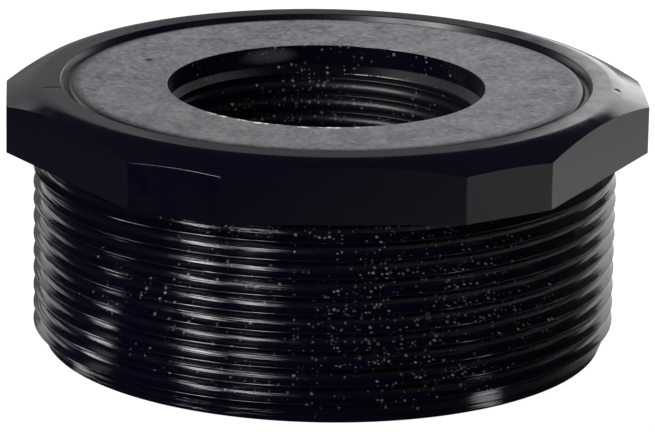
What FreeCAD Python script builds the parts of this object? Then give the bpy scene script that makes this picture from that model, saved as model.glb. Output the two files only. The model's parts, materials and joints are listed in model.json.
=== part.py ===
import FreeCAD, Part
import math
import os

os.makedirs("parts", exist_ok=True)

# Reducer bush: one moulded piece. A male pipe thread outside, a smaller female pipe thread inside,
# and a six-sided head whose corners are cropped flat.
# Millimetres. The origin is the middle of the bottom face, +Z runs up the axis to the head,
# and one wide flat of the head faces -Y.

# Pipe threads, ISO 228: 55 degree form, 11 turns to the inch, sizes 2 1/2 outside and 1 1/4 inside
thread_pitch = 25.4 / 11
flank_half_angle = 27.5
depth_per_pitch = 0.640327
crest_per_pitch = 1 / 6
male_major_d = 75.184
female_major_d = 41.910

# Threaded body: the male thread starts blunt, behind and to the left
total_height = 34.4
male_first_crest_z = 2.1
male_start_turn = 0.39
bottom_edge_radius = 0.5

# Head: its flats stand out past the male thread, and its cropped corners past the flats
head_height = 8.0
head_sides = 6
flat_past_thread = 1.158
crop_past_flat = 2.3
corner_radius = 0.4
top_circle_inset = 1.35
chamfer_angle = 25
rim_edge_radius = 0.3

# Top face: a narrow groove inside the rim, then a face that has sunk a little towards the mouth
rim_width = 3.3
groove_width = 0.8
groove_depth = 0.55
groove_wall_lean = 0.1
face_step = 0.1
face_sink = 0.5

# Bore: a plain mouth, the female thread, and a narrower way out through the bottom
mouth_clearance = 0.05
mouth_depth = 2.8
mouth_edge_radius = 0.35
female_thread_length = 22.0
female_start_turn = 0.0
stop_step = 1.0
bore_chamfer = 0.8

# How far a cutting shape runs past what it cuts
overrun = 1.0
# How far a ridge is sunk into the wall that carries it, and stands past its crest before it is trimmed
ridge_sunk = 0.3
ridge_spare = 0.2
# How many faces a turn of a thread's crest is made of
crest_faces_per_turn = 3
# How near an edge's radius and height must be to the ring that is to be rounded
ring_tolerance = 0.01

# Sizes that follow from the ones above
thread_depth = depth_per_pitch * thread_pitch
crest_width = crest_per_pitch * thread_pitch
flank_slope = math.tan(math.radians(flank_half_angle))
male_major_r = male_major_d / 2
male_root_r = male_major_r - thread_depth
female_major_r = female_major_d / 2
female_minor_r = female_major_r - thread_depth
head_bottom_z = total_height - head_height
flat_r = male_major_r + flat_past_thread
crop_r = flat_r + crop_past_flat
top_circle_r = flat_r - top_circle_inset
groove_outer_r = top_circle_r - rim_width
mouth_r = female_major_r + mouth_clearance
mouth_z = total_height - face_step - face_sink
female_top_z = mouth_z - mouth_depth
female_bottom_z = female_top_z - female_thread_length
stop_r = female_minor_r - stop_step
chamfer_slope = math.tan(math.radians(chamfer_angle))

centre = FreeCAD.Vector(0, 0, 0)
up = FreeCAD.Vector(0, 0, 1)


def revolved(points):
    """Turns a closed outline of (radius, height) points once about the axis."""
    outline = [FreeCAD.Vector(r, 0, z) for r, z in points]
    face = Part.Face(Part.makePolygon(outline + outline[:1]))
    return face.revolve(centre, up, 360)


def rounded_ring(shape, radius, ring):
    """Rounds the circular edges of shape that lie at ring, a radius and a height."""
    edges = []
    for edge in shape.Edges:
        if edge.Curve.TypeId != "Part::GeomCircle":
            continue
        place = (edge.Curve.Radius, edge.Curve.Center.z)
        if math.dist(place, ring) < ring_tolerance:
            edges.append(edge)
    return shape.makeFillet(radius, edges)


def split_cylinder(radius, low, high):
    """A cylinder whose wall is a few part-turn faces, so that the crests that it trims are short too."""
    foot = FreeCAD.Vector(0, 0, low)
    angle = 360 / crest_faces_per_turn
    sectors = []
    for index in range(crest_faces_per_turn):
        sector = Part.makeCylinder(radius, high - low, foot, up, angle)
        sector.rotate(foot, up, index * angle)
        sectors.append(sector)
    return sectors[0].fuse(sectors[1:])


def thread_ridge(wall_r, crest_r, first_z, last_z, start_turn):
    """A ridge from wall_r to crest_r, outward or inward, that winds right-handed up to last_z."""
    outward = 1 if crest_r > wall_r else -1
    root_half = crest_width / 2 + (thread_depth + ridge_sunk) * flank_slope
    crest_half = crest_width / 2 - ridge_spare * flank_slope
    root_x = wall_r - outward * ridge_sunk
    crest_x = crest_r + outward * ridge_spare
    corners = [
        FreeCAD.Vector(root_x, 0, -root_half),
        FreeCAD.Vector(crest_x, 0, -crest_half),
        FreeCAD.Vector(crest_x, 0, crest_half),
        FreeCAD.Vector(root_x, 0, root_half),
    ]
    section = Part.makePolygon(corners + corners[:1])
    path = Part.Wire(Part.makeLongHelix(thread_pitch, last_z - first_z, wall_r, 0, False))
    ridge = path.makePipeShell([section], True, True)
    ridge.rotate(centre, up, 360 * start_turn)
    ridge.translate(FreeCAD.Vector(0, 0, first_z))
    return ridge


def head_plan():
    """The head's corners: a hexagon over the flats, with each point cropped square to its middle."""
    turn_step = 2 * math.pi / head_sides
    half_side = turn_step / 2
    half_crop = (flat_r - crop_r * math.cos(half_side)) / math.sin(half_side)
    corner_r = math.hypot(crop_r, half_crop)
    half_turn = math.atan2(half_crop, crop_r)
    corners = []
    for index in range(head_sides):
        for side in (-half_turn, half_turn):
            turn = index * turn_step + side
            corners.append(FreeCAD.Vector(corner_r * math.cos(turn), corner_r * math.sin(turn), head_bottom_z))
    return corners


def head():
    """The six-sided head, with its top chamfer, rim, groove and sunk face."""
    corners = head_plan()
    prism = Part.Face(Part.makePolygon(corners + corners[:1])).extrude(up * head_height)
    upright = [e for e in prism.Edges if abs(e.Vertexes[0].Z - e.Vertexes[1].Z) > head_height / 2]
    prism = prism.makeFillet(corner_radius, upright)
    outer_r = corners[0].Length + overrun
    groove_inner_r = groove_outer_r - groove_width
    face_z = total_height - face_step
    groove_z = face_z - groove_depth
    turned = revolved([
        (0, head_bottom_z),
        (outer_r, head_bottom_z),
        (outer_r, total_height - (outer_r - top_circle_r) * chamfer_slope),
        (top_circle_r, total_height),
        (groove_outer_r, total_height),
        (groove_outer_r - groove_wall_lean, groove_z),
        (groove_inner_r + groove_wall_lean, groove_z),
        (groove_inner_r, face_z),
        (mouth_r, mouth_z),
        (0, mouth_z),
    ])
    turned = rounded_ring(turned, rim_edge_radius, (top_circle_r, total_height))
    return turned.common(prism)


def threaded_body():
    """The round body with its male thread, which runs up into the head."""
    body = Part.makeCylinder(male_root_r, head_bottom_z + overrun)
    body = rounded_ring(body, bottom_edge_radius, (male_root_r, 0))
    last_crest_z = head_bottom_z + crest_width + thread_depth
    ridge = thread_ridge(male_root_r, male_major_r, male_first_crest_z, last_crest_z, male_start_turn)
    ridge = ridge.common(split_cylinder(male_major_r, 0, total_height))
    return body.fuse(ridge)


def bore():
    """What is cut out of the piece: mouth, female thread, stop and bottom chamfer."""
    shaft = split_cylinder(female_minor_r, female_bottom_z, mouth_z)
    first_groove_z = female_bottom_z + crest_width / 2 + thread_depth * flank_slope
    groove = thread_ridge(female_minor_r, female_major_r, first_groove_z, female_top_z, female_start_turn)
    groove = groove.common(split_cylinder(female_major_r, female_bottom_z, mouth_z))
    mouth = Part.makeCylinder(mouth_r, mouth_depth + overrun, FreeCAD.Vector(0, 0, female_top_z))
    low = revolved([
        (0, -overrun),
        (stop_r + bore_chamfer + overrun, -overrun),
        (stop_r, bore_chamfer),
        (stop_r, female_bottom_z + overrun),
        (0, female_bottom_z + overrun),
    ])
    return shaft.fuse([groove, mouth, low])


reducer = threaded_body().fuse(head()).cut(bore())
reducer = rounded_ring(reducer, mouth_edge_radius, (mouth_r, mouth_z))
print("solids", len(reducer.Solids), "valid", reducer.isValid(), "faces", len(reducer.Faces))
reducer = reducer.Solids[0]
reducer.exportStep("parts/reducer_bush.step")

box = reducer.optimalBoundingBox()
print("box", [round(v, 2) for v in (box.XMin, box.XMax, box.YMin, box.YMax, box.ZMin, box.ZMax)])
print("volume", round(reducer.Volume / 1000, 2), "cm3")
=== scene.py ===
# %% [markdown]
# A moulded reducer bush
#
# The part is a black plastic bush that takes a pipe from a large size down to a small one. It has a
# male thread outside, a female thread inside and a six-sided head to turn it by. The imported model
# gives its place and its main sizes. The piece is modelled again here with the rounded crests, roots
# and edges of a moulding, because a glossy black part is seen by the light that its edges catch.

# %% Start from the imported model
import bmesh
import bpy
import json
import math
from mathutils import Matrix, Vector


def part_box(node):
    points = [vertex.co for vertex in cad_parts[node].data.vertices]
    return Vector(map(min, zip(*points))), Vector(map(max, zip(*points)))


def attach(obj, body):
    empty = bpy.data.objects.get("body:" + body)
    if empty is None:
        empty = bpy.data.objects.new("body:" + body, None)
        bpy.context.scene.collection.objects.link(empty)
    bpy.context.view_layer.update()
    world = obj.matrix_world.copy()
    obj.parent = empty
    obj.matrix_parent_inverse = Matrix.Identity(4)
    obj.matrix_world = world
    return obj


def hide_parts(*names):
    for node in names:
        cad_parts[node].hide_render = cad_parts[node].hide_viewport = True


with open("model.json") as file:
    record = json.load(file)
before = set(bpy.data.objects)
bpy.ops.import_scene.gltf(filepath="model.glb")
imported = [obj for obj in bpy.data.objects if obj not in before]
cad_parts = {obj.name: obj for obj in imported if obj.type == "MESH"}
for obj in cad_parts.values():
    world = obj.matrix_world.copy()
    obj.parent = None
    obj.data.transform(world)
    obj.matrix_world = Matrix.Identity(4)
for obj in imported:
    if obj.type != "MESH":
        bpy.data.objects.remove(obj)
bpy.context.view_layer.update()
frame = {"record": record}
mounts = {mount["name"]: mount for mount in frame["record"]["mounts"]}
MM = 0.001

# %% [markdown]
# Sizes
#
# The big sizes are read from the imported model: its box, the radius of each thread and the height of
# the head's underside. The small ones are written in millimetres, as a toolmaker would write them.
# Both threads are parallel pipe threads with 11 turns to the inch. On a moulding their crests are
# nearly sharp and their roots are wide round hollows, which are what the light catches. The root's
# radius is given, and the height of the ridge that fits between two such roots follows from it. The
# female thread has the wider roots, because the mouth, which is as wide as they are, looks narrow.

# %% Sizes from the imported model
high_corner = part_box("reducer_bush")[1]
total_height = high_corner.z
crop_r = high_corner.x
flat_r = high_corner.y
male_crest_r = mounts["male_thread"]["dims"]["r_mm"] * MM
male_half_length = mounts["male_thread"]["dims"]["length_mm"] * MM / 2
head_bottom_z = mounts["male_thread"]["pos_m"][2] + male_half_length
female_crest_r = mounts["female_thread"]["dims"]["r_mm"] * MM
female_half_length = mounts["female_thread"]["dims"]["length_mm"] * MM / 2
female_middle_z = mounts["female_thread"]["pos_m"][2]
female_top_z = female_middle_z + female_half_length
female_bottom_z = female_middle_z - female_half_length

# %% Thread form
PITCH = 25.4 / 11 * MM
THREAD_DEPTH = 0.640327 * PITCH
FLANK_ANGLE = math.radians(27.5)
CREST_HALF = 0.07 * MM
MALE_ROOT_RADIUS = 0.8 * MM
FEMALE_ROOT_RADIUS = 1.0 * MM
MALE_FIRST_CREST_Z = 2.1 * MM
MALE_START_TURN = 0.39
FEMALE_START_TURN = 0.0


def ridge_size(root_radius):
    """Half the width of a root at its corners, and the height of the ridge between two roots."""
    root_half = root_radius * math.tan((math.pi / 2 - FLANK_ANGLE) / 2)
    return root_half, (PITCH / 2 - CREST_HALF - root_half) / math.tan(FLANK_ANGLE)


male_root_half, male_height = ridge_size(MALE_ROOT_RADIUS)
female_height = ridge_size(FEMALE_ROOT_RADIUS)[1]
pilot_r = male_crest_r - THREAD_DEPTH
male_root_r = male_crest_r - male_height
female_root_r = female_crest_r + female_height
print("ridges in mm: male", round(male_height / MM, 3), "female", round(female_height / MM, 3))

# %% Head, face and bore
PILOT_HEIGHT = 0.9 * MM
BOTTOM_EDGE = 0.5 * MM
TOP_CIRCLE_INSET = 1.35 * MM
CHAMFER_ANGLE = math.radians(25)
RIM_EDGE = 0.9 * MM
RIM_WIDTH = 3.3 * MM
GROOVE_WIDTH = 1.2 * MM
GROOVE_DEPTH = 0.55 * MM
GROOVE_LEAN = 0.35 * MM
GROOVE_EDGE = 0.12 * MM
FACE_STEP = 0.32 * MM
SHOULDER_WIDTH = 0.9 * MM
SHOULDER_DROP = 0.15 * MM
FACE_SINK = 0.38 * MM
CORNER_RADIUS = 0.4 * MM
HEAD_EDGE = 0.04 * MM
MOUTH_CLEARANCE = 0.03 * MM
MOUTH_EDGE = 0.15 * MM
LEAD_IN_HEIGHT = 1.0 * MM
LEAD_IN_EDGE = 0.2 * MM
STOP_STEP = 1.0 * MM
BORE_CHAMFER = 0.8 * MM

# %% [markdown]
# Helpers
#
# A line is drawn by pulling one vertex from point to point, and its corners are rounded by a vertex
# bevel. Spun about the axis, such a line is a turned form, and screwed along the axis it is a thread.
# Everything is deselected before each new piece, so that an operator acts on that piece alone.

# %% Draw a line of points and round its corners
def select_nothing():
    """Goes back to object mode and leaves nothing selected."""
    if bpy.context.mode != "OBJECT":
        bpy.ops.object.mode_set(mode="OBJECT")
    bpy.ops.object.select_all(action="DESELECT")


def drawn_line(name, points):
    """A closed line of (radius, height) points in the plane of X and Z."""
    select_nothing()
    bpy.ops.mesh.primitive_plane_add(size=MM)
    piece = bpy.context.object
    piece.name = name
    bpy.ops.object.mode_set(mode="EDIT")
    bpy.ops.mesh.merge(type="CENTER")
    bpy.ops.transform.translate(value=(points[0][0], 0, points[0][1]))
    for start, end in zip(points, points[1:] + points[:1]):
        step = (end[0] - start[0], 0, end[1] - start[1])
        bpy.ops.mesh.extrude_vertices_move(TRANSFORM_OT_translate={"value": step})
    bpy.ops.mesh.select_all(action="SELECT")
    bpy.ops.mesh.remove_doubles(threshold=0.001 * MM)
    bpy.ops.object.mode_set(mode="OBJECT")
    return piece


def pick(piece, wanted, kind="VERT"):
    """Selects, in edit mode, only the vertices, edges or faces that wanted(part) says yes to."""
    select_nothing()
    bpy.context.view_layer.objects.active = piece
    piece.select_set(True)
    bpy.ops.object.mode_set(mode="EDIT")
    bpy.ops.mesh.select_mode(type=kind)
    bpy.ops.mesh.select_all(action="DESELECT")
    mesh = bmesh.from_edit_mesh(piece.data)
    parts = {"VERT": mesh.verts, "EDGE": mesh.edges, "FACE": mesh.faces}[kind]
    count = 0
    for part in parts:
        if wanted(part):
            part.select_set(True)
            count += 1
    mesh.select_flush_mode()
    bmesh.update_edit_mesh(piece.data)
    return count


def round_corner(piece, point, offset, segments):
    """Rounds the line's corner at a (radius, height) point. offset is how far the arc starts from it."""
    corner = Vector((point[0], 0, point[1]))
    pick(piece, lambda vertex: (vertex.co - corner).length < 0.01 * MM)
    bpy.ops.mesh.bevel(offset=offset, offset_type="OFFSET", segments=segments, affect="VERTICES")
    bpy.ops.object.mode_set(mode="OBJECT")


# %% Clean a mesh and combine two solids
def face_outwards(piece):
    """Merges doubles and turns every face outwards, and says whether the piece is closed."""
    pick(piece, lambda vertex: True)
    bpy.ops.mesh.remove_doubles(threshold=0.001 * MM)
    bpy.ops.mesh.normals_make_consistent(inside=False)
    bpy.ops.object.mode_set(mode="OBJECT")
    mesh = bmesh.new()
    mesh.from_mesh(piece.data)
    open_edges = sum(1 for edge in mesh.edges if not edge.is_manifold)
    print(piece.name, len(mesh.faces), "faces,", open_edges, "open edges,",
          round(mesh.calc_volume() / MM ** 3 / 1000, 2), "cm3")
    mesh.free()


def combine(piece, tool, operation):
    """Joins tool to piece, cuts it away or keeps what they share, and drops the tool."""
    select_nothing()
    modifier = piece.modifiers.new(operation.lower(), "BOOLEAN")
    modifier.operation = operation
    modifier.solver = "EXACT"
    modifier.object = tool
    bpy.context.view_layer.objects.active = piece
    bpy.ops.object.modifier_apply(modifier=modifier.name)
    bpy.data.objects.remove(tool)
    face_outwards(piece)


# %% [markdown]
# The turned blank
#
# Without its threads and its flats, the bush is a turned form, so one closed line gives it: bottom
# face, outside wall, underside of the head, chamfer, rim, groove, sunk face, mouth, bore and stop. A
# short cone at the foot of the mouth leads a pipe into the female thread.
# Its edges are rounded on the line, where that is easy, and then it is spun once about the axis.

# %% Draw the section
WALL_SPARE = 0.02 * MM
SPIN_STEPS = 240
blank_r = crop_r + 2 * MM
top_circle_r = flat_r - TOP_CIRCLE_INSET
groove_outer_r = top_circle_r - RIM_WIDTH
groove_inner_r = groove_outer_r - GROOVE_WIDTH
face_z = total_height - FACE_STEP
groove_z = face_z - GROOVE_DEPTH
mouth_z = face_z - FACE_SINK
mouth_r = female_root_r + MOUTH_CLEARANCE
wall_r = male_root_r + WALL_SPARE
shoulder_r = groove_inner_r - SHOULDER_WIDTH
shoulder_z = face_z - SHOULDER_DROP
bore_r = female_crest_r + WALL_SPARE
stop_r = female_crest_r - STOP_STEP
chamfer_end_z = total_height - (blank_r - top_circle_r) * math.tan(CHAMFER_ANGLE)

bottom_corner = (pilot_r, 0)
rim_corner = (top_circle_r, total_height)
groove_outer_corner = (groove_outer_r, total_height)
groove_inner_corner = (groove_inner_r, shoulder_z)
face_corner = (shoulder_r, face_z)
mouth_corner = (mouth_r, mouth_z)
lead_in_corner = (bore_r, female_top_z - LEAD_IN_HEIGHT)
section = [
    (stop_r + BORE_CHAMFER, 0),
    bottom_corner,
    (pilot_r, PILOT_HEIGHT),
    (wall_r, PILOT_HEIGHT + wall_r - pilot_r),
    (wall_r, head_bottom_z),
    (blank_r, head_bottom_z),
    (blank_r, chamfer_end_z),
    rim_corner,
    groove_outer_corner,
    (groove_outer_r - GROOVE_LEAN, groove_z),
    (groove_inner_r + GROOVE_LEAN, groove_z),
    groove_inner_corner,
    face_corner,
    mouth_corner,
    (mouth_r, female_top_z),
    lead_in_corner,
    (bore_r, female_bottom_z),
    (stop_r, female_bottom_z),
    (stop_r, BORE_CHAMFER),
]
bush = drawn_line("moulded_bush", section)
round_corner(bush, bottom_corner, BOTTOM_EDGE, 5)
round_corner(bush, rim_corner, RIM_EDGE, 4)
round_corner(bush, groove_outer_corner, GROOVE_EDGE, 3)
round_corner(bush, groove_inner_corner, GROOVE_EDGE, 3)
round_corner(bush, face_corner, SHOULDER_WIDTH / 2, 4)
round_corner(bush, mouth_corner, MOUTH_EDGE, 5)
round_corner(bush, lead_in_corner, LEAD_IN_EDGE, 2)
print("section", len(bush.data.vertices), "points")

# %% Spin it once about the axis
pick(bush, lambda vertex: True)
bpy.ops.mesh.spin(steps=SPIN_STEPS, angle=2 * math.pi, use_auto_merge=True,
                  center=(0, 0, 0), axis=(0, 0, 1))
face_outwards(bush)

# %% [markdown]
# The flats
#
# The head is a hexagon whose points are cropped flat. A tall six-sided prism gets its upright edges
# bevelled twice, once flat to crop the points and once round for the small radius of the mould, and
# the blank keeps only what lies inside it. The threaded part is thinner, so it isn't touched.

# %% Make the six-sided prism
HEAD_SIDES = 6
point_r = flat_r / math.cos(math.pi / HEAD_SIDES)
crop_turn = math.pi / HEAD_SIDES
select_nothing()
bpy.ops.mesh.primitive_cylinder_add(vertices=HEAD_SIDES, radius=point_r, depth=2 * total_height,
                                    location=(0, 0, total_height / 2),
                                    rotation=(0, 0, math.pi / HEAD_SIDES))
prism = bpy.context.object
prism.name = "prism"
bpy.ops.object.transform_apply(location=True, rotation=True, scale=True)


def upright(edge):
    """True for an edge that runs straight up."""
    first, second = edge.verts
    return (first.co - second.co).length > total_height and abs(first.co.z - second.co.z) > total_height


pick(prism, upright, "EDGE")
bpy.ops.mesh.bevel(offset=point_r - crop_r, offset_type="DEPTH", segments=1)
bpy.ops.object.mode_set(mode="OBJECT")
pick(prism, upright, "EDGE")
bpy.ops.mesh.bevel(offset=CORNER_RADIUS * math.tan(crop_turn / 2), offset_type="OFFSET", segments=4)
bpy.ops.object.mode_set(mode="OBJECT")
corners = [vertex.co for vertex in prism.data.vertices]
print("prism reaches", round(max(c.x for c in corners) / MM, 3), round(max(c.y for c in corners) / MM, 3))
combine(bush, prism, "INTERSECT")

# %% Round the edges of the head
def head_edge(edge):
    """True for a sharp edge on the outside of the head, along its underside or its chamfer."""
    outside = all(math.hypot(vertex.co.x, vertex.co.y) > flat_r - 0.1 * MM for vertex in edge.verts)
    return outside and edge.calc_face_angle(0) > math.radians(30)


count = pick(bush, head_edge, "EDGE")
bpy.ops.mesh.bevel(offset=HEAD_EDGE, offset_type="OFFSET", segments=3, clamp_overlap=False)
bpy.ops.object.mode_set(mode="OBJECT")
print(count, "edges of the head rounded")
face_outwards(bush)

# %% [markdown]
# The threads
#
# One closed line holds a single ridge: two flanks at 27.5 degrees, a round crest and the two halves
# of a round root, and a back that is sunk in the wall. The Screw modifier winds it up the axis, right
# handed. The male ridge is joined to the wall, and the female one is cut out of the bore.

# %% Wind one ridge
TURN_STEPS = 144
ROOT_GAP = 0.02 * MM
SUNK = 0.3 * MM


def ridge(name, inner_r, root_radius, first_z, last_z, start_turn):
    """A ridge that stands out of inner_r and winds right-handed from first_z to last_z."""
    root_half, height = ridge_size(root_radius)
    outer_r = inner_r + height
    root_end = PITCH / 2 - ROOT_GAP
    root_corner = PITCH / 2 - root_half
    line = drawn_line(name, [
        (inner_r - SUNK, -root_end),
        (inner_r, -root_end),
        (inner_r, -root_corner),
        (outer_r, -CREST_HALF),
        (outer_r, CREST_HALF),
        (inner_r, root_corner),
        (inner_r, root_end),
        (inner_r - SUNK, root_end),
    ])
    for side in (-1, 1):
        round_corner(line, (inner_r, side * root_corner), root_half - 2 * ROOT_GAP, 6)
        round_corner(line, (outer_r, side * CREST_HALF), CREST_HALF * 0.95, 3)
    turns = (last_z - first_z) / PITCH
    winding = line.modifiers.new("winding", "SCREW")
    winding.axis = "Z"
    winding.angle = 2 * math.pi * turns
    winding.screw_offset = last_z - first_z
    winding.steps = round(TURN_STEPS * turns)
    winding.render_steps = winding.steps
    bpy.context.view_layer.objects.active = line
    bpy.ops.object.modifier_apply(modifier=winding.name)
    pick(line, lambda vertex: True)
    bpy.ops.mesh.select_non_manifold()
    bpy.ops.mesh.select_all(action="DESELECT")
    bpy.ops.mesh.select_non_manifold()
    bpy.ops.mesh.fill_holes(sides=0)
    bpy.ops.object.mode_set(mode="OBJECT")
    line.rotation_euler.z = 2 * math.pi * start_turn
    line.location.z = first_z
    select_nothing()
    line.select_set(True)
    bpy.ops.object.transform_apply(location=True, rotation=True, scale=True)
    face_outwards(line)
    return line


# %% Join the male thread and cut the female one
last_male_z = head_bottom_z + male_root_half + THREAD_DEPTH
male_ridge = ridge("male_ridge", male_root_r, MALE_ROOT_RADIUS, MALE_FIRST_CREST_Z, last_male_z,
                   MALE_START_TURN)
combine(bush, male_ridge, "UNION")
first_female_z = female_bottom_z + PITCH / 2
last_female_z = female_top_z - PITCH / 2
female_ridge = ridge("female_ridge", female_crest_r, FEMALE_ROOT_RADIUS, first_female_z, last_female_z,
                     FEMALE_START_TURN)
combine(bush, female_ridge, "DIFFERENCE")

# %% Smooth the round faces and keep the flat ones flat
select_nothing()
bush.select_set(True)
bpy.context.view_layer.objects.active = bush
bpy.ops.object.shade_smooth_by_angle(angle=math.radians(35))
weights = bush.modifiers.new("weights", "WEIGHTED_NORMAL")
weights.keep_sharp = True
bpy.ops.object.modifier_apply(modifier=weights.name)
triangles = sum(len(face.vertices) - 2 for face in bush.data.polygons)
print("bush", triangles, "triangles")

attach(bush, "root")
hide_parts("reducer_bush")

# %% [markdown]
# The plastic
#
# The real bush is injection-moulded polypropylene, coloured right through with carbon black, so its colour
# is the same everywhere and the light tells the surfaces apart. The mould was polished for the rim, the
# flats and the outer thread, which makes them a blue-black mirror. It was eroded for the top face, which
# makes that an even matt that looks grey under a lamp; here part of that grey is painted into the face's
# colour as painted sheen. The core that forms the bore was left duller. So there is one plastic with three
# finishes, and each gets a material, built from the same few nodes with patterns in millimetres.

# %% One function for colours and one for nodes
def linear(hex_colour):
    """An sRGB hex colour as the linear values that Blender's sockets take."""
    channels = [int(hex_colour[i:i + 2], 16) / 255 for i in (0, 2, 4)]
    return [c / 12.92 if c <= 0.04045 else ((c + 0.055) / 1.055) ** 2.4 for c in channels] + [1]


def add_node(tree, kind, links, values, **settings):
    """Adds a node with its settings and the values of its sockets, and links its inputs to other nodes."""
    node = tree.nodes.new(kind)
    for name, value in settings.items():
        setattr(node, name, value)
    for socket, value in values.items():
        node.inputs[socket].default_value = value
    for socket, source in links.items():
        tree.links.new(source, node.inputs[socket])
    return node


def empty_material(name):
    """A material with an empty node tree."""
    material = bpy.data.materials.new(name)
    material.use_nodes = True
    material.node_tree.nodes.clear()
    return material


# %% [markdown]
# Specks and dents
#
# The threads of the real piece carry pale specks of dust and swarf, thickest on the front right and
# deep in the bore. A Voronoi texture scatters them: each cell has a dot near its middle, and a random
# colour that says how pale and how large the dot is. Soft round patches say where many cells keep
# their dot and where few do. Real dust is finer than the picture can show, so a dot is drawn about a
# third of a millimetre wide. The same kind of patch, much smaller and used as a height, is a dent.

# %% A soft patch about a point, and the strongest of several
def patch(tree, place, centre, half_size, soft):
    """1 inside a stretched ball of half_size about centre, and 0 outside it, over a soft border."""
    local = add_node(tree, "ShaderNodeMapping", {"Vector": place},
                     {"Location": centre, "Scale": half_size}, vector_type="TEXTURE")
    away = add_node(tree, "ShaderNodeVectorMath", {0: local.outputs[0]}, {}, operation="LENGTH")
    inside = add_node(tree, "ShaderNodeMapRange", {"Value": away.outputs["Value"]},
                      {"From Min": 1 + soft, "From Max": 1 - soft}, interpolation_type="SMOOTHSTEP")
    return inside.outputs[0]


def strongest(tree, masks):
    """The highest of several masks."""
    highest = masks[0]
    for mask in masks[1:]:
        higher = add_node(tree, "ShaderNodeMath", {0: highest, 1: mask}, {}, operation="MAXIMUM")
        highest = higher.outputs[0]
    return highest


def on_wall(turn, radius, height):
    """A point at a turn in degrees from the front, positive to the right, a radius and a height."""
    angle = math.radians(turn)
    return (radius * math.sin(angle), -radius * math.cos(angle), height)


# %% Scatter specks in some areas
SPECK_SPACING = 0.58 * MM
SPECK_HALF_SIZE = 0.16 * MM
SPECK_GREY = "858585"
DUST_DRIFT = 5 * MM
AREA_SOFTNESS = 0.25


def specks(tree, place, areas):
    """How pale a speck is at each point, and 0 between specks. An area is a centre, a size and a share."""
    shares = []
    for centre, size, share in areas:
        area = patch(tree, place, centre, size, AREA_SOFTNESS)
        part = add_node(tree, "ShaderNodeMath", {0: area}, {1: share}, operation="MULTIPLY")
        shares.append(part.outputs[0])
    drift = add_node(tree, "ShaderNodeTexNoise", {"Vector": place}, {"Scale": 1 / DUST_DRIFT, "Detail": 2})
    uneven = add_node(tree, "ShaderNodeMapRange", {"Value": drift.outputs[0]},
                      {"From Min": 0.33, "From Max": 0.55})
    share = add_node(tree, "ShaderNodeMath", {0: strongest(tree, shares), 1: uneven.outputs[0]}, {},
                     operation="MULTIPLY")
    cells = add_node(tree, "ShaderNodeTexVoronoi", {"Vector": place}, {"Scale": 1 / SPECK_SPACING})
    chance = add_node(tree, "ShaderNodeSeparateColor", {0: cells.outputs["Color"]}, {})
    kept = add_node(tree, "ShaderNodeMath", {0: chance.outputs[0], 1: share.outputs[0]}, {},
                    operation="LESS_THAN")
    size = add_node(tree, "ShaderNodeMapRange", {"Value": chance.outputs[2]},
                    {"To Min": 0.6, "To Max": 1.5})
    scaled = add_node(tree, "ShaderNodeMath", {0: cells.outputs["Distance"], 1: size.outputs[0]}, {},
                      operation="DIVIDE")
    reach = SPECK_HALF_SIZE / SPECK_SPACING
    dot = add_node(tree, "ShaderNodeMapRange", {"Value": scaled.outputs[0]},
                   {"From Min": 1.25 * reach, "From Max": 0.35 * reach})
    shown = add_node(tree, "ShaderNodeMath", {0: dot.outputs[0], 1: kept.outputs[0]}, {},
                     operation="MULTIPLY")
    pale = add_node(tree, "ShaderNodeMapRange", {"Value": chance.outputs[1]},
                    {"To Min": 0.1, "To Max": 0.8})
    return add_node(tree, "ShaderNodeMath", {0: shown.outputs[0], 1: pale.outputs[0]}, {},
                    operation="MULTIPLY").outputs[0]


# %% [markdown]
# The glossy finish
#
# The rim, the chamfer and the flats copy a polished steel mould, so they mirror their surroundings, a
# little softened and very slightly wavy where the plastic has shrunk. The outer thread was moulded in
# a turned steel ring, and copies its fine turning lines, which run round the axis. They spread each
# glint up and down but not sideways. Real lines are a few hundredths of a millimetre apart, too fine
# for the picture, so they are drawn several times as coarse.

# %% Build the glossy finish
GLOSS_BLACK = "050411"
GLOSS_ROUGHNESS = 0.12
DUST_ROUGHNESS = 0.7
HAZE_SPACING = 2.5 * MM
PLASTIC_IOR = 1.49
DENT_DEPTH = 0.12 * MM
WAVE_LENGTH = 3 * MM
WAVE_SHARE = 0.06
TURNING_LINES = 0.16 * MM
TURNING_DEPTH = 0.08 * MM
THREAD_DUST = [
    (on_wall(20, 37 * MM, 13 * MM), (17 * MM, 17 * MM, 10.5 * MM), 0.8),
    (on_wall(-5, 37 * MM, 13 * MM), (32 * MM, 24 * MM, 11 * MM), 0.3),
    (on_wall(0, 37 * MM, 25 * MM), (30 * MM, 12 * MM, 1.3 * MM), 0.8),
]
DENTS = [
    (on_wall(82, 37.3 * MM, 33.9 * MM), (0.35 * MM, 0.7 * MM, 0.8 * MM)),
    (on_wall(-83, 35.4 * MM, 34.4 * MM), (0.9 * MM, 0.3 * MM, 0.5 * MM)),
]
gloss = empty_material("black polypropylene, polished mould")
tree = gloss.node_tree
place = add_node(tree, "ShaderNodeTexCoord", {}, {}).outputs["Object"]
speck = specks(tree, place, THREAD_DUST)
colour = add_node(tree, "ShaderNodeMix", {0: speck},
                  {6: linear(GLOSS_BLACK), 7: linear(SPECK_GREY)}, data_type="RGBA")
haze = add_node(tree, "ShaderNodeTexNoise", {"Vector": place}, {"Scale": 1 / HAZE_SPACING, "Detail": 3})
polish = add_node(tree, "ShaderNodeMapRange", {"Value": haze.outputs[0]},
                  {"From Min": 0.35, "From Max": 0.7, "To Min": GLOSS_ROUGHNESS - 0.02,
                   "To Max": GLOSS_ROUGHNESS + 0.07})
rough = add_node(tree, "ShaderNodeMix", {0: speck, 2: polish.outputs[0]}, {3: DUST_ROUGHNESS},
                 data_type="FLOAT")
waves = add_node(tree, "ShaderNodeTexNoise", {"Vector": place}, {"Scale": 1 / WAVE_LENGTH, "Detail": 1})
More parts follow.
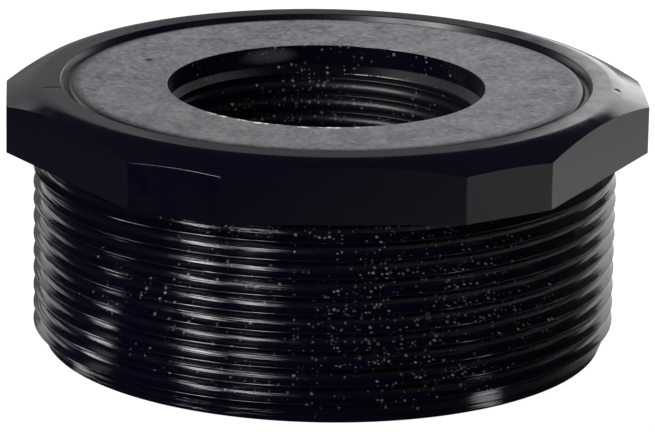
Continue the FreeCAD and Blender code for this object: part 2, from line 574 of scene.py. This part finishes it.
low_waves = add_node(tree, "ShaderNodeMath", {0: waves.outputs[0]}, {1: WAVE_SHARE}, operation="MULTIPLY")
dents = strongest(tree, [patch(tree, place, centre, size, 0.6) for centre, size in DENTS])
relief = add_node(tree, "ShaderNodeMath", {0: low_waves.outputs[0], 1: dents}, {}, operation="SUBTRACT")
bump = add_node(tree, "ShaderNodeBump", {"Height": relief.outputs[0]},
                {"Strength": 1.0, "Distance": DENT_DEPTH})
round_and_round = add_node(tree, "ShaderNodeMapping", {"Vector": place}, {"Scale": (0.01, 0.01, 1)})
lines = add_node(tree, "ShaderNodeTexNoise", {"Vector": round_and_round.outputs[0]},
                 {"Scale": 1 / TURNING_LINES})
height = add_node(tree, "ShaderNodeSeparateXYZ", {0: place}, {}).outputs["Z"]
below_head = add_node(tree, "ShaderNodeMapRange", {"Value": height},
                      {"From Min": head_bottom_z + 0.1 * MM, "From Max": head_bottom_z - 0.1 * MM})
bump = add_node(tree, "ShaderNodeBump", {"Height": lines.outputs[0], "Strength": below_head.outputs[0],
                                         "Normal": bump.outputs[0]}, {"Distance": TURNING_DEPTH})
shader = add_node(tree, "ShaderNodeBsdfPrincipled",
                  {"Base Color": colour.outputs[2], "Roughness": rough.outputs[0],
                   "Normal": bump.outputs[0]},
                  {"IOR": PLASTIC_IOR})
add_node(tree, "ShaderNodeOutputMaterial", {"Surface": shader.outputs[0]}, {})
print(gloss.name, len(tree.nodes), "nodes")

# %% [markdown]
# The bore
#
# The core was unscrewed from the bore, and leaves a satin skin with drag marks, so its glints are broad and
# dim. The cone at the foot of the mouth is rubbed dull, and shows as a grey ring; at its far middle it keeps
# the bore's glossy black, a painted shade. A pale grey patch of painted light lies on the far wall of the
# mouth, left of the middle, and specks fill the turns below it.

# %% Build the dull finish of the bore
BORE_BLACK = "06050f"
CONE_GREY = "242428"
MOUTH_LIGHT_GREY = "38383e"
MOUTH_ROUGHNESS = 0.14
BORE_ROUGHNESS = 0.38
CONE_ROUGHNESS = 0.5
DRAG_MARKS = 0.5 * MM
DRAG_DEPTH = 0.03 * MM
BORE_DUST = [
    (on_wall(172, 19 * MM, 26 * MM), (15 * MM, 9 * MM, 5 * MM), 0.8),
    (on_wall(180, 20 * MM, 31 * MM), (21 * MM, 16 * MM, 4 * MM), 0.3),
]
# Painted shade: at its far middle the cone keeps the bore's glossy black instead of its grey.
CONE_SHADE_PART = (on_wall(184, mouth_r, female_top_z - LEAD_IN_HEIGHT / 2), (10 * MM, 6 * MM, 6 * MM), 0.5)
# Painted light: a pale grey patch on the far wall of the mouth, left of the middle.
MOUTH_LIGHT_PATCH = (on_wall(199, mouth_r, mouth_z - 1.3 * MM), (3.2 * MM, 3 * MM, 0.9 * MM), 0.5)
bore = empty_material("black polypropylene, satin core")
tree = bore.node_tree
place = add_node(tree, "ShaderNodeTexCoord", {}, {}).outputs["Object"]
speck = specks(tree, place, BORE_DUST)
height = add_node(tree, "ShaderNodeSeparateXYZ", {0: place}, {}).outputs["Z"]
middle_z = female_top_z - LEAD_IN_HEIGHT / 2
off_middle = add_node(tree, "ShaderNodeMath", {0: height}, {1: middle_z}, operation="SUBTRACT")
off_middle = add_node(tree, "ShaderNodeMath", {0: off_middle.outputs[0]}, {}, operation="ABSOLUTE")
cone = add_node(tree, "ShaderNodeMapRange", {"Value": off_middle.outputs[0]},
                {"From Min": 0.6 * LEAD_IN_HEIGHT, "From Max": 0.4 * LEAD_IN_HEIGHT})
cone_shade = patch(tree, place, *CONE_SHADE_PART)
# The grey ring without its far middle, which is painted shade.
dull_cone_less_shade = add_node(tree, "ShaderNodeMath", {0: cone.outputs[0], 1: cone_shade}, {}, operation="SUBTRACT",
                     use_clamp=True)
with_cone = add_node(tree, "ShaderNodeMix", {0: dull_cone_less_shade.outputs[0]},
                     {6: linear(BORE_BLACK), 7: linear(CONE_GREY)}, data_type="RGBA")
# Painted light on the far wall of the mouth.
mouth_light = patch(tree, place, *MOUTH_LIGHT_PATCH)
with_mouth_light = add_node(tree, "ShaderNodeMix", {0: mouth_light, 6: with_cone.outputs[2]},
                      {7: linear(MOUTH_LIGHT_GREY)}, data_type="RGBA")
colour = add_node(tree, "ShaderNodeMix", {0: speck, 6: with_mouth_light.outputs[2]},
                  {7: linear(SPECK_GREY)}, data_type="RGBA")
drag = add_node(tree, "ShaderNodeMapping", {"Vector": place}, {"Scale": (1, 1, 0.2)})
lines = add_node(tree, "ShaderNodeTexNoise", {"Vector": drag.outputs[0]},
                 {"Scale": 1 / DRAG_MARKS, "Detail": 2})
bump = add_node(tree, "ShaderNodeBump", {"Height": lines.outputs[0]},
                {"Strength": 1.0, "Distance": DRAG_DEPTH})
polish = add_node(tree, "ShaderNodeMapRange", {"Value": height},
                  {"From Min": middle_z - 0.6 * LEAD_IN_HEIGHT, "From Max": middle_z - 0.5 * LEAD_IN_HEIGHT,
                   "To Min": BORE_ROUGHNESS, "To Max": MOUTH_ROUGHNESS})
rough = add_node(tree, "ShaderNodeMix", {0: dull_cone_less_shade.outputs[0], 2: polish.outputs[0]},
                 {3: CONE_ROUGHNESS}, data_type="FLOAT")
shader = add_node(tree, "ShaderNodeBsdfPrincipled",
                  {"Base Color": colour.outputs[2], "Roughness": rough.outputs[0],
                   "Normal": bump.outputs[0]},
                  {"IOR": PLASTIC_IOR})
add_node(tree, "ShaderNodeOutputMaterial", {"Surface": shader.outputs[0]}, {})
print(bore.name, len(tree.nodes), "nodes")

# %% [markdown]
# The matt face
#
# Spark erosion leaves the mould covered in tiny craters, and the face copies them. Each is far too small to
# see from here, so the grain is drawn at 0.35 mm, as fine as the picture can show. It scatters the light, so
# the face looks grey where the rim beside it looks black, and its colour is a grey that is partly painted
# sheen. Towards the groove the craters fade out, and the finish turns satin black over two millimetres, a
# black that is partly painted shade beside the rim. A broken pale line along the near lip of the mouth is a
# painted highlight.

# %% Build the matt finish
# Painted sheen: the face's greys are lighter than the black plastic and stand partly for the sheen that
# light from behind gives it.
FACE_GREY_AND_SHEEN = "4e4d51"
FACE_GREY_LIGHT_AND_SHEEN = "7a797c"
FACE_ROUGHNESS = 0.55
GROOVE_ROUGHNESS = 0.3
GRAIN = 0.35 * MM
GRAIN_DEPTH = 0.05 * MM
# Painted shade: towards the groove the face turns black, partly a change of finish and partly shade beside
# the rim.
FADE_FROM, FADE_TO = 31.2 * MM, 33.1 * MM
CLOUD_SPACING = 4 * MM
CLOUD_SHARE = 0.35
# Painted highlight: a broken pale line along the near lip of the mouth.
LIP_HIGHLIGHT_WIDTH = 0.9 * MM
HIGHLIGHT_BREAK_SPACING = 1.2 * MM
LIP_HIGHLIGHT_AREA = (on_wall(-20, mouth_r, mouth_z), (10 * MM, 8 * MM, 3 * MM), 0.3)
LIP_HIGHLIGHT_GREY = "e6e6e6"
FACE_MARKS = [
    ((-22.53 * MM, 11.74 * MM, 34.0 * MM), (0.45 * MM, 0.5 * MM, 0.5 * MM)),
    ((29.0 * MM, -4.0 * MM, 34.1 * MM), (0.25 * MM, 0.3 * MM, 0.3 * MM)),
    ((17.0 * MM, 22.0 * MM, 34.1 * MM), (0.3 * MM, 0.35 * MM, 0.3 * MM)),
]
matt = empty_material("black polypropylene, eroded mould")
tree = matt.node_tree
place = add_node(tree, "ShaderNodeTexCoord", {}, {}).outputs["Object"]
flat = add_node(tree, "ShaderNodeVectorMath", {0: place}, {1: (1, 1, 0)}, operation="MULTIPLY")
radius = add_node(tree, "ShaderNodeVectorMath", {0: flat.outputs[0]}, {}, operation="LENGTH")
fade = add_node(tree, "ShaderNodeMapRange", {"Value": radius.outputs["Value"]},
                {"From Min": FADE_FROM, "From Max": FADE_TO}, interpolation_type="SMOOTHSTEP")
grain = add_node(tree, "ShaderNodeTexNoise", {"Vector": place}, {"Scale": 1 / (2 * GRAIN), "Detail": 2})
cloud = add_node(tree, "ShaderNodeTexNoise", {"Vector": place}, {"Scale": 1 / CLOUD_SPACING, "Detail": 3})
both = add_node(tree, "ShaderNodeMix", {2: grain.outputs[0], 3: cloud.outputs[0]}, {0: CLOUD_SHARE},
                data_type="FLOAT")
tone = add_node(tree, "ShaderNodeMapRange", {"Value": both.outputs[0]},
                {"From Min": 0.35, "From Max": 0.65})
greys_and_sheen = add_node(tree, "ShaderNodeMix", {0: tone.outputs[0]},
                 {6: linear(FACE_GREY_AND_SHEEN), 7: linear(FACE_GREY_LIGHT_AND_SHEEN)}, data_type="RGBA")
marks = strongest(tree, [patch(tree, place, centre, size, 0.7) for centre, size in FACE_MARKS])
# Painted highlight along the near lip, broken into pieces by noise.
lip = add_node(tree, "ShaderNodeMapRange", {"Value": radius.outputs["Value"]},
               {"From Min": mouth_r + LIP_HIGHLIGHT_WIDTH, "From Max": mouth_r + 0.5 * LIP_HIGHLIGHT_WIDTH})
near_left = patch(tree, place, *LIP_HIGHLIGHT_AREA)
highlight_breaks = add_node(tree, "ShaderNodeTexNoise", {"Vector": place}, {"Scale": 1 / HIGHLIGHT_BREAK_SPACING, "Detail": 1})
highlight_break = add_node(tree, "ShaderNodeMapRange", {"Value": highlight_breaks.outputs[0]},
                 {"From Min": 0.5, "From Max": 0.6})
lip_highlight = add_node(tree, "ShaderNodeMath", {0: lip.outputs[0], 1: near_left}, {}, operation="MULTIPLY")
lip_highlight = add_node(tree, "ShaderNodeMath", {0: lip_highlight.outputs[0], 1: highlight_break.outputs[0]}, {},
                 operation="MULTIPLY")
# The black border is partly painted shade beside the rim; the marks are the face's own.
black_border_and_marks = add_node(tree, "ShaderNodeMath", {0: fade.outputs[0], 1: marks}, {}, operation="MAXIMUM")
colour = add_node(tree, "ShaderNodeMix", {0: black_border_and_marks.outputs[0], 6: greys_and_sheen.outputs[2]},
                  {7: linear(GLOSS_BLACK)}, data_type="RGBA")
colour = add_node(tree, "ShaderNodeMix", {0: lip_highlight.outputs[0], 6: colour.outputs[2]},
                  {7: linear(LIP_HIGHLIGHT_GREY)}, data_type="RGBA")
rough = add_node(tree, "ShaderNodeMapRange", {"Value": fade.outputs[0]},
                 {"To Min": FACE_ROUGHNESS, "To Max": GROOVE_ROUGHNESS})
level = add_node(tree, "ShaderNodeMath", {0: grain.outputs[0], 1: marks}, {}, operation="SUBTRACT")
depth = add_node(tree, "ShaderNodeMapRange", {"Value": fade.outputs[0]}, {"To Min": 1.0, "To Max": 0.0})
bump = add_node(tree, "ShaderNodeBump", {"Height": level.outputs[0], "Strength": depth.outputs[0]},
                {"Distance": GRAIN_DEPTH})
shader = add_node(tree, "ShaderNodeBsdfPrincipled",
                  {"Base Color": colour.outputs[2], "Roughness": rough.outputs[0],
                   "Normal": bump.outputs[0]},
                  {"IOR": PLASTIC_IOR})
add_node(tree, "ShaderNodeOutputMaterial", {"Surface": shader.outputs[0]}, {})
print(matt.name, len(tree.nodes), "nodes")

# %% Give each part of the surface its finish
bush.data.materials.clear()
for finish in (gloss, matt, bore):
    bush.data.materials.append(finish)
for face in bush.data.polygons:
    radius = math.hypot(face.center.x, face.center.y)
    if mouth_r < radius < groove_outer_r + GROOVE_EDGE and face.center.z > mouth_z - 0.1 * MM:
        face.material_index = 1
    elif groove_inner_r < radius < groove_outer_r and face.center.z > groove_z - 0.1 * MM:
        face.material_index = 1
    elif radius < mouth_r + 0.05 * MM:
        face.material_index = 2
slots = [face.material_index for face in bush.data.polygons]
print("faces: glossy", slots.count(0), "matt", slots.count(1), "bore", slots.count(2))

# %% [markdown]
# The floor
#
# The bush stands on plain white paper, which the camera sees as pure white, with only a trace of a shadow. A
# black mirror shows little but its surroundings, so they matter as much as the plastic: in the photograph
# the front of the bush mirrors something dark and its right side something pale. So the floor that the
# mirrors see is painted with light and shadow: dark in front on the left and pale towards the right and the
# back, a painted shadow of the bush, and darker still close beside it, painted shade. Close beside the bush
# a few spots of it glow as painted light, and give the lowest turns and the plain band below them their
# glints. Only the camera sees it white.

# %% Make the floor
FLOOR_TURN = 110
FLOOR_REACH = 140 * MM
# Painted light and shadow: the floor that the mirrors see is dark in front on the left and pale to the right
# and the back, a painted shadow of the bush.
FLOOR_TONES = [(0.0, 0.01), (0.05, 0.02), (0.12, 0.06), (0.2, 0.045), (0.31, 0.07), (0.55, 0.3),
               (0.74, 0.5), (0.8, 0.57), (1.0, 0.44)]
# Painted shade: the mirrored floor is darker close beside the bush.
NEAR_TONE_SHARE = 0.2
NEAR_FROM, NEAR_TO = 60 * MM, 110 * MM
SHADOW_GREY = 0.12
PAPER_WHITE = 0.97
# Painted light: spots of the floor beside the bush glow, and give the lowest turns and the plain band their
# glints.
LIT_SPOTS = [
    (on_wall(-69.5, 49 * MM, 0), (10 * MM, 3.5 * MM, 1 * MM), 9.0),
    (on_wall(-85, 41 * MM, 0), (3.5 * MM, 14 * MM, 1 * MM), 0.7),
    (on_wall(34, 39 * MM, 0), (2.5 * MM, 2 * MM, 1 * MM), 5.0),
    (on_wall(78, 40.5 * MM, 0), (3.5 * MM, 15 * MM, 1 * MM), 0.5),
]
select_nothing()
bpy.ops.mesh.primitive_plane_add(size=12)
floor = bpy.context.object
floor.name = "floor"
paper = empty_material("paper, white to the camera, dark on the left in mirrors")
tree = paper.node_tree
place = add_node(tree, "ShaderNodeTexCoord", {}, {}).outputs["Object"]
turn = math.radians(FLOOR_TURN - 90)
start = (-FLOOR_REACH * math.cos(turn), -FLOOR_REACH * math.sin(turn), 0)
along = add_node(tree, "ShaderNodeMapping", {"Vector": place},
                 {"Location": start, "Rotation": (0, 0, turn),
                  "Scale": (2 * FLOOR_REACH, 2 * FLOOR_REACH, 1)},
                 vector_type="TEXTURE")
slope = add_node(tree, "ShaderNodeTexGradient", {"Vector": along.outputs[0]}, {})
away = add_node(tree, "ShaderNodeVectorMath", {0: place}, {}, operation="LENGTH")
# Painted shade, darker close beside the bush.
open_floor = add_node(tree, "ShaderNodeMapRange", {"Value": away.outputs["Value"]},
                      {"From Min": NEAR_FROM, "From Max": NEAR_TO, "To Min": NEAR_TONE_SHARE},
                      interpolation_type="SMOOTHSTEP")
tones = add_node(tree, "ShaderNodeValToRGB", {"Fac": slope.outputs["Fac"]}, {})
stops = tones.color_ramp.elements
while len(stops) < len(FLOOR_TONES):
    stops.new(0.5)
for stop, (position, tone) in zip(stops, FLOOR_TONES):
    stop.position = position
    stop.color = (tone, tone, tone, 1)
print("floor tones", [(round(stop.position, 2), round(stop.color[0], 3)) for stop in stops])
near_dark = add_node(tree, "ShaderNodeVectorMath",
                     {0: tones.outputs[0], "Scale": open_floor.outputs[0]}, {}, operation="SCALE")
toned = add_node(tree, "ShaderNodeBsdfDiffuse", {"Color": near_dark.outputs[0]}, {})
spots = []
# Painted light: the glowing spots.
for centre, size, brightness in LIT_SPOTS:
    spot = patch(tree, place, centre, size, 0.5)
    glow = add_node(tree, "ShaderNodeMath", {0: spot}, {1: brightness}, operation="MULTIPLY")
    spots.append(glow.outputs[0])
lit = add_node(tree, "ShaderNodeEmission", {"Strength": strongest(tree, spots)}, {"Color": (1, 1, 1, 1)})
mirrored = add_node(tree, "ShaderNodeAddShader", {0: toned.outputs[0], 1: lit.outputs[0]}, {})
shadowed = add_node(tree, "ShaderNodeBsdfDiffuse", {}, {"Color": (SHADOW_GREY, SHADOW_GREY, SHADOW_GREY, 1)})
white = add_node(tree, "ShaderNodeEmission", {}, {"Color": (1, 1, 1, 1), "Strength": PAPER_WHITE})
seen = add_node(tree, "ShaderNodeAddShader", {0: shadowed.outputs[0], 1: white.outputs[0]}, {})
ray = add_node(tree, "ShaderNodeLightPath", {}, {})
surface = add_node(tree, "ShaderNodeMixShader",
                   {0: ray.outputs["Is Camera Ray"], 1: mirrored.outputs[0], 2: seen.outputs[0]}, {})
add_node(tree, "ShaderNodeOutputMaterial", {"Surface": surface.outputs[0]}, {})
floor.data.materials.append(paper)

# %% Camera
ELEVATION = math.radians(16.49)
TURN = math.radians(3.5)
ROLL = math.radians(0.99)
DISTANCE = 653.9 * MM
LENS_SHIFT_RIGHT = 0.43 * MM
LENS_SHIFT_UP = -17.56 * MM
FOCAL_PIXELS = 5089
PHOTO_WIDTH = 655

level = Vector((-math.sin(TURN), -math.cos(TURN), 0))
back = level * math.cos(ELEVATION) + Vector((0, 0, math.sin(ELEVATION)))
right = Vector((math.cos(TURN), -math.sin(TURN), 0))
up = back.cross(right)
rim_top = Vector((0, 0, total_height))
camera_data = bpy.data.cameras.new("camera")
camera = bpy.data.objects.new("camera", camera_data)
bpy.context.scene.collection.objects.link(camera)
camera_data.sensor_width = 36
camera_data.lens = camera_data.sensor_width * FOCAL_PIXELS / PHOTO_WIDTH
camera_data.clip_start = 0.05
rolled_right = right * math.cos(ROLL) + up * math.sin(ROLL)
rolled_up = up * math.cos(ROLL) - right * math.sin(ROLL)
turned = Matrix((rolled_right, rolled_up, back)).transposed().to_4x4()
spot = rim_top + back * DISTANCE + right * LENS_SHIFT_RIGHT + up * LENS_SHIFT_UP
camera.matrix_world = Matrix.Translation(spot) @ turned
bpy.context.scene.camera = camera

# %% [markdown]
# The light
#
# The room is nearly dark and a few lamps do the work. One soft lamp above gives the plain light in
# which the matt face shows its colour; it stands on the right, so the face is paler there, and it is
# left out of the mirror images. The rest are pale cards that the gloss mirrors: low ones behind, which
# light the rim and the chamfer, and tall narrow ones in front on the left, which draw the upright rows
# of glints down the threads. Turns are in degrees from the front, positive to the right.

# %% Dim room, white to the camera
ROOM_GREY = 0.03
world = bpy.data.worlds.new("studio")
bpy.context.scene.world = world
world.use_nodes = True
tree = world.node_tree
tree.nodes.clear()
room = add_node(tree, "ShaderNodeBackground", {}, {"Color": (1, 1, 1, 1), "Strength": ROOM_GREY})
backdrop = add_node(tree, "ShaderNodeBackground", {}, {"Color": (1, 1, 1, 1), "Strength": 1.0})
ray = add_node(tree, "ShaderNodeLightPath", {}, {})
sky = add_node(tree, "ShaderNodeMixShader",
               {0: ray.outputs["Is Camera Ray"], 1: room.outputs[0], 2: backdrop.outputs[0]}, {})
add_node(tree, "ShaderNodeOutputWorld", {"Surface": sky.outputs[0]}, {})
bpy.context.scene.view_settings.view_transform = "Standard"

# %% Lamps
CARD_DISTANCE = 1200 * MM
# Each card's left and right turn, its low and high elevation, and its brightness
CARDS = {
    "low_card_behind_right": (125, 172, 0, 22, 1.35),
    "low_card_behind": (172, 180, 0, 24, 0.17),
    "low_card_behind_left": (180, 200, 0, 24, 0.25),
    "low_card_left": (200, 230, 0, 22, 1.25),
    "corner_card": (158, 170, 2, 14, 0.6),
    "tall_card_front_left": (-60, -50, 2, 40, 20.0),
    "dim_card_front_left": (-37, -28, 2, 40, 16.0),
    "small_card_right": (55, 65, 25, 50, 0.25),
}


def lamp(name, turn, elevation, distance, width, height, brightness):
    """A flat lamp that faces the bush. Its brightness is 1 where a mirror would show it pure white."""
    around = math.radians(turn)
    above = math.radians(elevation)
    level = Vector((math.sin(around), -math.cos(around), 0))
    outward = level * math.cos(above) + Vector((0, 0, math.sin(above)))
    data = bpy.data.lights.new(name, "AREA")
    data.shape = "RECTANGLE"
    data.size = width
    data.size_y = height
    data.energy = brightness * math.pi * width * height
    light = bpy.data.objects.new(name, data)
    bpy.context.scene.collection.objects.link(light)
    light.location = rim_top + outward * distance
    light.rotation_euler = outward.to_track_quat("Z", "Y").to_euler()
    return light


for name, (left_turn, right_turn, low, high, brightness) in CARDS.items():
    half_turn = math.radians(abs(right_turn - left_turn) / 2)
    middle = (low + high) / 2
    width = 2 * CARD_DISTANCE * math.tan(half_turn) * math.cos(math.radians(middle))
    height = 2 * CARD_DISTANCE * math.tan(math.radians(high - low) / 2)
    lamp(name, (left_turn + right_turn) / 2, middle, CARD_DISTANCE, width, height, brightness)

soft_light = lamp("soft_lamp_above", turn=122, elevation=55, distance=280 * MM, width=150 * MM,
                  height=150 * MM, brightness=11.4)
soft_light.visible_glossy = False
print(len(CARDS) + 1, "lamps")
